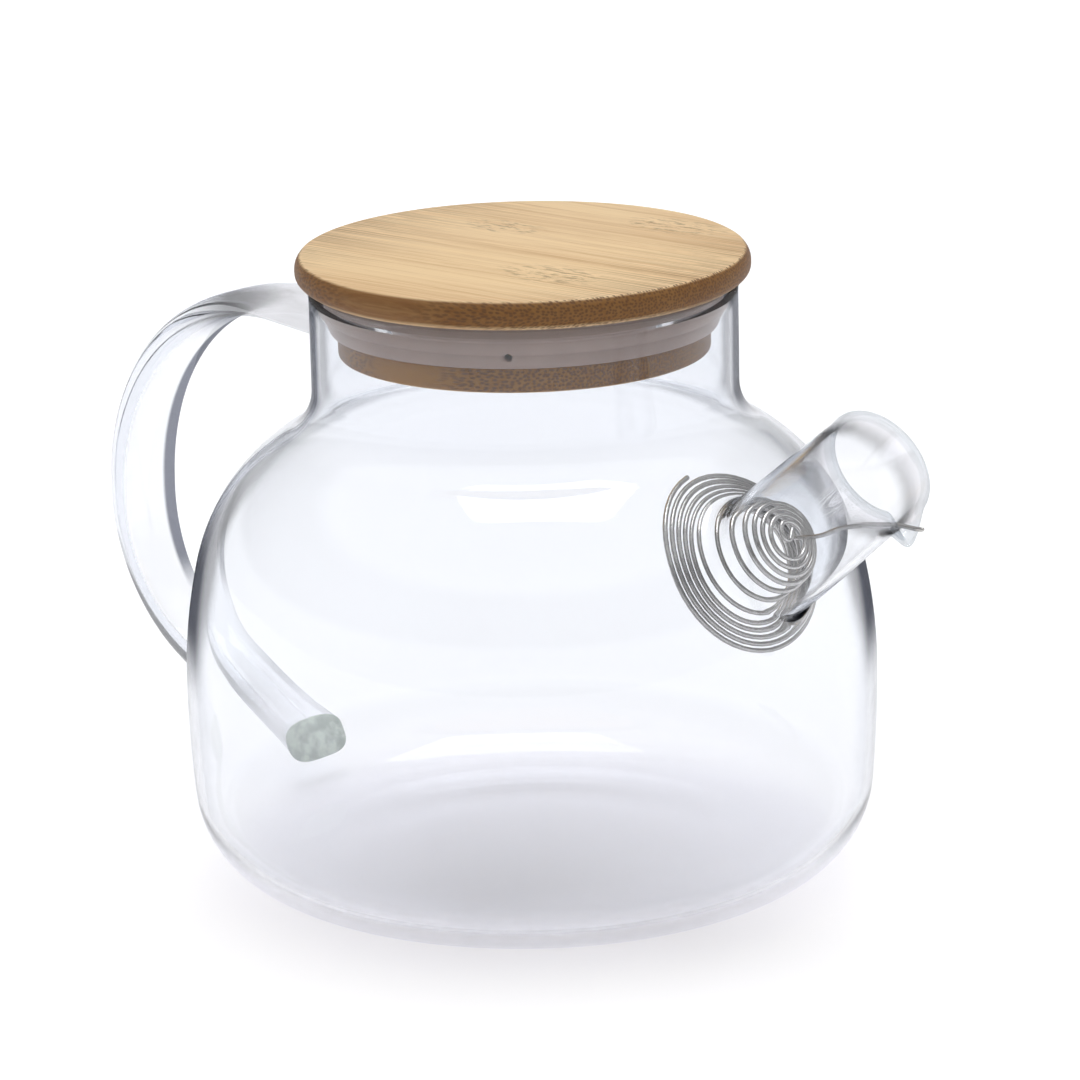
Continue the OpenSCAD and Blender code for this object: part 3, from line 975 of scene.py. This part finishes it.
def bamboo_material(name, light, dark, pores, side_shade_color=SIDE_SHADE, end_shade_and_grain_color=END_SHADE_AND_GRAIN):
    """Oiled bamboo: streaked along the grain, flecked at its nodes, dotted on its cut ends.
    Its upright sides get painted shade, deepest on the cut ends, whose grain is darker too.
    """
    mat, tree, shader = new_material(name)
    place = object_mm(tree)
    along = vector(tree, "DOT_PRODUCT", place, FIBRE_WAY)
    across = vector(tree, "DOT_PRODUCT", place, ACROSS_WAY)
    grain = joined(tree, along, across, axes(tree, place)[2])
    marks = node_marks(tree, along, across)
    wavy = swayed(tree, grain, marks)
    streaks = noise(tree, wavy, detail=4.0, roughness=0.6, stretch=STREAKS)
    lines = noise(tree, wavy, detail=3.0, roughness=0.65, stretch=LINES)
    strips = noise(tree, grain, detail=0.0, stretch=STRIPS)
    flecks = noise(tree, wavy, detail=3.0, roughness=0.6, stretch=FLECKS)

    normal = tree.nodes.new("ShaderNodeNewGeometry").outputs["Normal"]
    end = vector(tree, "DOT_PRODUCT", normal, FIBRE_WAY)
    end = rise(tree, calc(tree, "ABSOLUTE", end), *END_LIMITS)
    side = rise(tree, calc(tree, "ABSOLUTE", axes(tree, normal)[2]), *SHADED_SIDE_LIMITS)

    tone = calc(tree, "ADD", calc(tree, "MULTIPLY", streaks, STREAK_PART),
                calc(tree, "MULTIPLY", lines, LINE_PART))
    tone = calc(tree, "ADD", tone, calc(tree, "MULTIPLY", strips, STRIP_PART))
    color = blend(tree, rise(tree, tone, *TONE_LIMITS), light, dark)
    flecked = calc(tree, "MULTIPLY", marks, rise(tree, flecks, *FLECK_LIMITS), clamp=True)
    color = blend(tree, flecked, color, pores)
    # painted shade: upright faces are darkened, the cut ends most, whose end grain is darker too
    side_shaded = blend(tree, 1.0, color, blend(tree, end, side_shade_color, end_shade_and_grain_color), "MULTIPLY")
    color = blend(tree, side, color, side_shaded)
    shown = calc(tree, "ADD", DOTS_ON_TOP, calc(tree, "MULTIPLY", end, DOTS_ON_ENDS))
    shown = calc(tree, "MULTIPLY", fibre_dots(tree, wavy), shown)
    tree.links.new(blend(tree, shown, color, pores), shader.inputs["Base Color"])
    uneven_gloss(tree, shader, lines, least=0.42, more=0.25)
    fill(shader, {"Specular IOR Level": 0.3})
    relief = calc(tree, "SUBTRACT", calc(tree, "MULTIPLY", lines, 0.5), shown)
    bump(tree, shader, relief, strength=0.22, distance=0.0002)
    return mat


def silicone_material(name, color, deep):
    """Soft grey rubber with a faint cloud and a fine matt grain."""
    mat, tree, shader = new_material(name)
    place = object_mm(tree)
    cloud = noise(tree, place, scale=0.06)
    tone = blend(tree, rise(tree, cloud, 0.3, 0.7), color, deep)
    tree.links.new(tone, shader.inputs["Base Color"])
    grain = noise(tree, place, scale=1.4, roughness=0.6)
    uneven_gloss(tree, shader, grain, least=0.3, more=0.2)
    fill(shader, {"Subsurface Weight": 0.25, "Subsurface Radius": (1.0, 0.8, 0.7),
                  "Subsurface Scale": 0.002, "IOR": 1.41})
    bump(tree, shader, grain, strength=0.1, distance=0.0001)
    return mat


def steel_material(name, dark, light):
    """Drawn steel wire, slightly uneven in tone and gloss."""
    mat, tree, shader = new_material(name)
    drawn = noise(tree, object_mm(tree), scale=0.7, detail=3.0, roughness=0.6)
    tree.links.new(blend(tree, drawn, dark, light), shader.inputs["Base Color"])
    uneven_gloss(tree, shader, drawn, least=0.12, more=0.2)
    fill(shader, {"Metallic": 1.0})
    bump(tree, shader, drawn, strength=0.08, distance=0.0001)
    return mat


vessel_glass = glass_material("clear_glass", CLEAR, BODY_EDGE_SHADE, FAINT_EDGE_SHADE, BODY_STEEP, FOOT_CALM)
inner_glass = glass_material("inner_glass", CLEAR, BODY_EDGE_SHADE, FAINT_EDGE_SHADE, BODY_STEEP, FLOOR_CALM)
rim_glass = glass_material("rim_glass", RIM_TINT, FAINT_EDGE_SHADE, FAINT_EDGE_SHADE, BEAD_STEEP, BEAD_CALM,
                           shade=BEAD_SHADE)
strap_glass = glass_material("strap_glass", STRAP_CLEAR, STRAP_EDGE_SHADE, STRAP_EDGE_SHADE, BEAD_STEEP,
                             STRAP_CALM, STRAP_BAND_SHADE)
weld_glass = weld_material("weld_glass", (0.62, 0.70, 0.62), (0.40, 0.47, 0.41))
bamboo = bamboo_material("bamboo", (0.84, 0.62, 0.36), (0.62, 0.39, 0.195), (0.12, 0.055, 0.02))
plug_bamboo = bamboo_material("plug_bamboo", (0.86, 0.60, 0.27), (0.64, 0.40, 0.16),
                              (0.10, 0.042, 0.012), PLUG_SIDE_SHADE, PLUG_END_SHADE_AND_GRAIN)
silicone = silicone_material("silicone", (0.40, 0.305, 0.26), (0.34, 0.255, 0.215))
steel = steel_material("steel_wire", (0.42, 0.41, 0.40), (0.60, 0.59, 0.57))

# ---------------- pieces
vessel = build_vessel(vessel_glass, inner_glass, rim_glass)
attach(vessel, "pot")
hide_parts("glass_body", "glass_spout")

handle = build_handle(strap_glass, weld_glass)
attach(handle, "pot")
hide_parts("glass_handle")

disc = revolve("bamboo_disc", disc_outline(), bamboo)
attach(disc, "lid")
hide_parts("lid_disc")

plug = revolve("bamboo_plug", plug_outline(), plug_bamboo)
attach(plug, "lid")
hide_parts("lid_plug")

seal = build_seal(silicone)
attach(seal, "seal")
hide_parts("lid_seal")

coil = sweep("strainer_wire_coil", coil_path(), WIRE_R, steel)
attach(coil, "strainer")
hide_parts("strainer_coil")

leg = sweep("strainer_wire_leg", leg_path(), LEG_R, steel)
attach(leg, "leg")
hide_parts("strainer_leg")


# ---------------- stage, light and camera
FLOOR_GAP = 0.1              # the glass foot stands a hair above the floor's mesh
FLOOR_HALF = 4000
FLOOR_COLOR = (0.87, 0.87, 0.885)
FLOOR_LIFT = 0.22            # what the lit floor lacks to white
SKY_WHITE, SKY_DARK, SKY_TOP, SOFTBOX = 1.0, 0.40, 1.0, 6.5      # radiance; 1 is white
BAND_LOW, BAND_HIGH = (8, 13), (36, 44)  # elevations where the dark band fades in and out
BOX_AZ = 44.5                # the softbox hangs overhead, square to this azimuth
BOX_CENTRE, BOX_HALF = (0.05, -0.175), (0.285, 0.275)    # sideways, forwards, by its distance
BOX_POWER, BOX_EDGE, BOX_ABOVE = 6.0, (1.15, 0.85), (0.3, 0.35)  # squareness, soft edge, height
CAM_AZ, CAM_EL, CAM_ROLL = 44.5, 16.101, 1.314
CAM_DISTANCE, CAM_FOCAL_PX, IMAGE_PX, SENSOR = 1.100, 5457.1, 1080.0, 36.0
CAM_CLIP = (0.05, 50.0)
TARGET_RIGHT, TARGET_Z = 2.185, 68.09


def build_floor():
    """Pale floor that the camera sees as white, while its shadows stay."""
    corners = [(x * FLOOR_HALF, y * FLOOR_HALF, -FLOOR_GAP)
               for x, y in ((-1, -1), (1, -1), (1, 1), (-1, 1))]
    mat, tree, shader = new_material("white_floor")
    fill(shader, {"Base Color": (*FLOOR_COLOR, 1), "Roughness": 0.9, "Specular IOR Level": 0.0,
                  "Emission Color": (1, 1, 1, 1)})
    path = tree.nodes.new("ShaderNodeLightPath").outputs
    seen = calc(tree, "MAXIMUM", path["Is Camera Ray"], path["Is Glossy Ray"])
    seen = calc(tree, "MAXIMUM", seen, path["Is Transmission Ray"])
    lift = calc(tree, "MULTIPLY", seen, FLOOR_LIFT)
    tree.links.new(lift, shader.inputs["Emission Strength"])
    floor = make_object("floor", corners, [(0, 1, 2, 3)], mat, False)


def softbox(tree, way, up):
    """1 inside the overhead box, 0 outside it."""
    side = vector(tree, "DOT_PRODUCT", way, (cos(BOX_AZ), sin(BOX_AZ), 0))
    front = vector(tree, "DOT_PRODUCT", way, (sin(BOX_AZ), -cos(BOX_AZ), 0))
    reach = 0.0
    for value, centre, half in zip((side, front), BOX_CENTRE, BOX_HALF):
        off = calc(tree, "DIVIDE", calc(tree, "SUBTRACT", value, centre), half)
        off = calc(tree, "POWER", calc(tree, "ABSOLUTE", off), BOX_POWER)
        reach = calc(tree, "ADD", reach, off)
    return calc(tree, "MULTIPLY", rise(tree, reach, *BOX_EDGE), rise(tree, up, *BOX_ABOVE))


def build_world():
    """White above the horizon, then a dark band, a bright ceiling and one overhead softbox."""
    world = bpy.data.worlds.new("studio")
    bpy.context.scene.world = world
    world.use_nodes = True
    tree = world.node_tree
    tree.nodes.clear()
    way = tree.nodes.new("ShaderNodeTexCoord").outputs["Generated"]
    up = axes(tree, way)[2]
    low, high = ([sin(a) for a in limits] for limits in (BAND_LOW, BAND_HIGH))
    band = calc(tree, "MULTIPLY", rise(tree, up, *low), rise(tree, up, *high[::-1]))
    level = calc(tree, "ADD", SKY_WHITE, calc(tree, "MULTIPLY", band, SKY_DARK - SKY_WHITE))
    ceiling = calc(tree, "MULTIPLY", rise(tree, up, *high), SKY_TOP - SKY_WHITE)
    box = calc(tree, "MULTIPLY", softbox(tree, way, up), SOFTBOX - SKY_TOP)
    level = calc(tree, "ADD", calc(tree, "ADD", level, ceiling), box)
    background = tree.nodes.new("ShaderNodeBackground")
    tree.links.new(level, background.inputs["Strength"])
    out = tree.nodes.new("ShaderNodeOutputWorld")
    tree.links.new(background.outputs[0], out.inputs[0])


def build_camera():
    """The camera that was fitted to the photo."""
    cam = bpy.data.cameras.new("camera")
    cam.sensor_width = SENSOR
    cam.lens = SENSOR * CAM_FOCAL_PX / IMAGE_PX
    cam.clip_start, cam.clip_end = CAM_CLIP
    obj = bpy.data.objects.new("camera", cam)
    bpy.context.scene.collection.objects.link(obj)
    back = Vector((sin(CAM_AZ) * cos(CAM_EL), -cos(CAM_AZ) * cos(CAM_EL), sin(CAM_EL)))
    right = Vector((cos(CAM_AZ), sin(CAM_AZ), 0))
    up = back.cross(right)
    target = MM * (TARGET_RIGHT * right + TARGET_Z * Vector((0, 0, 1)))
    roll = Matrix.Rotation(math.radians(-CAM_ROLL), 3, "Z")
    turn = Matrix((right, up, back)).transposed() @ roll
    obj.matrix_world = Matrix.Translation(target + CAM_DISTANCE * back) @ turn.to_4x4()
    bpy.context.scene.camera = obj


build_floor()
build_world()
build_camera()
bpy.context.scene.view_settings.view_transform = "Standard"
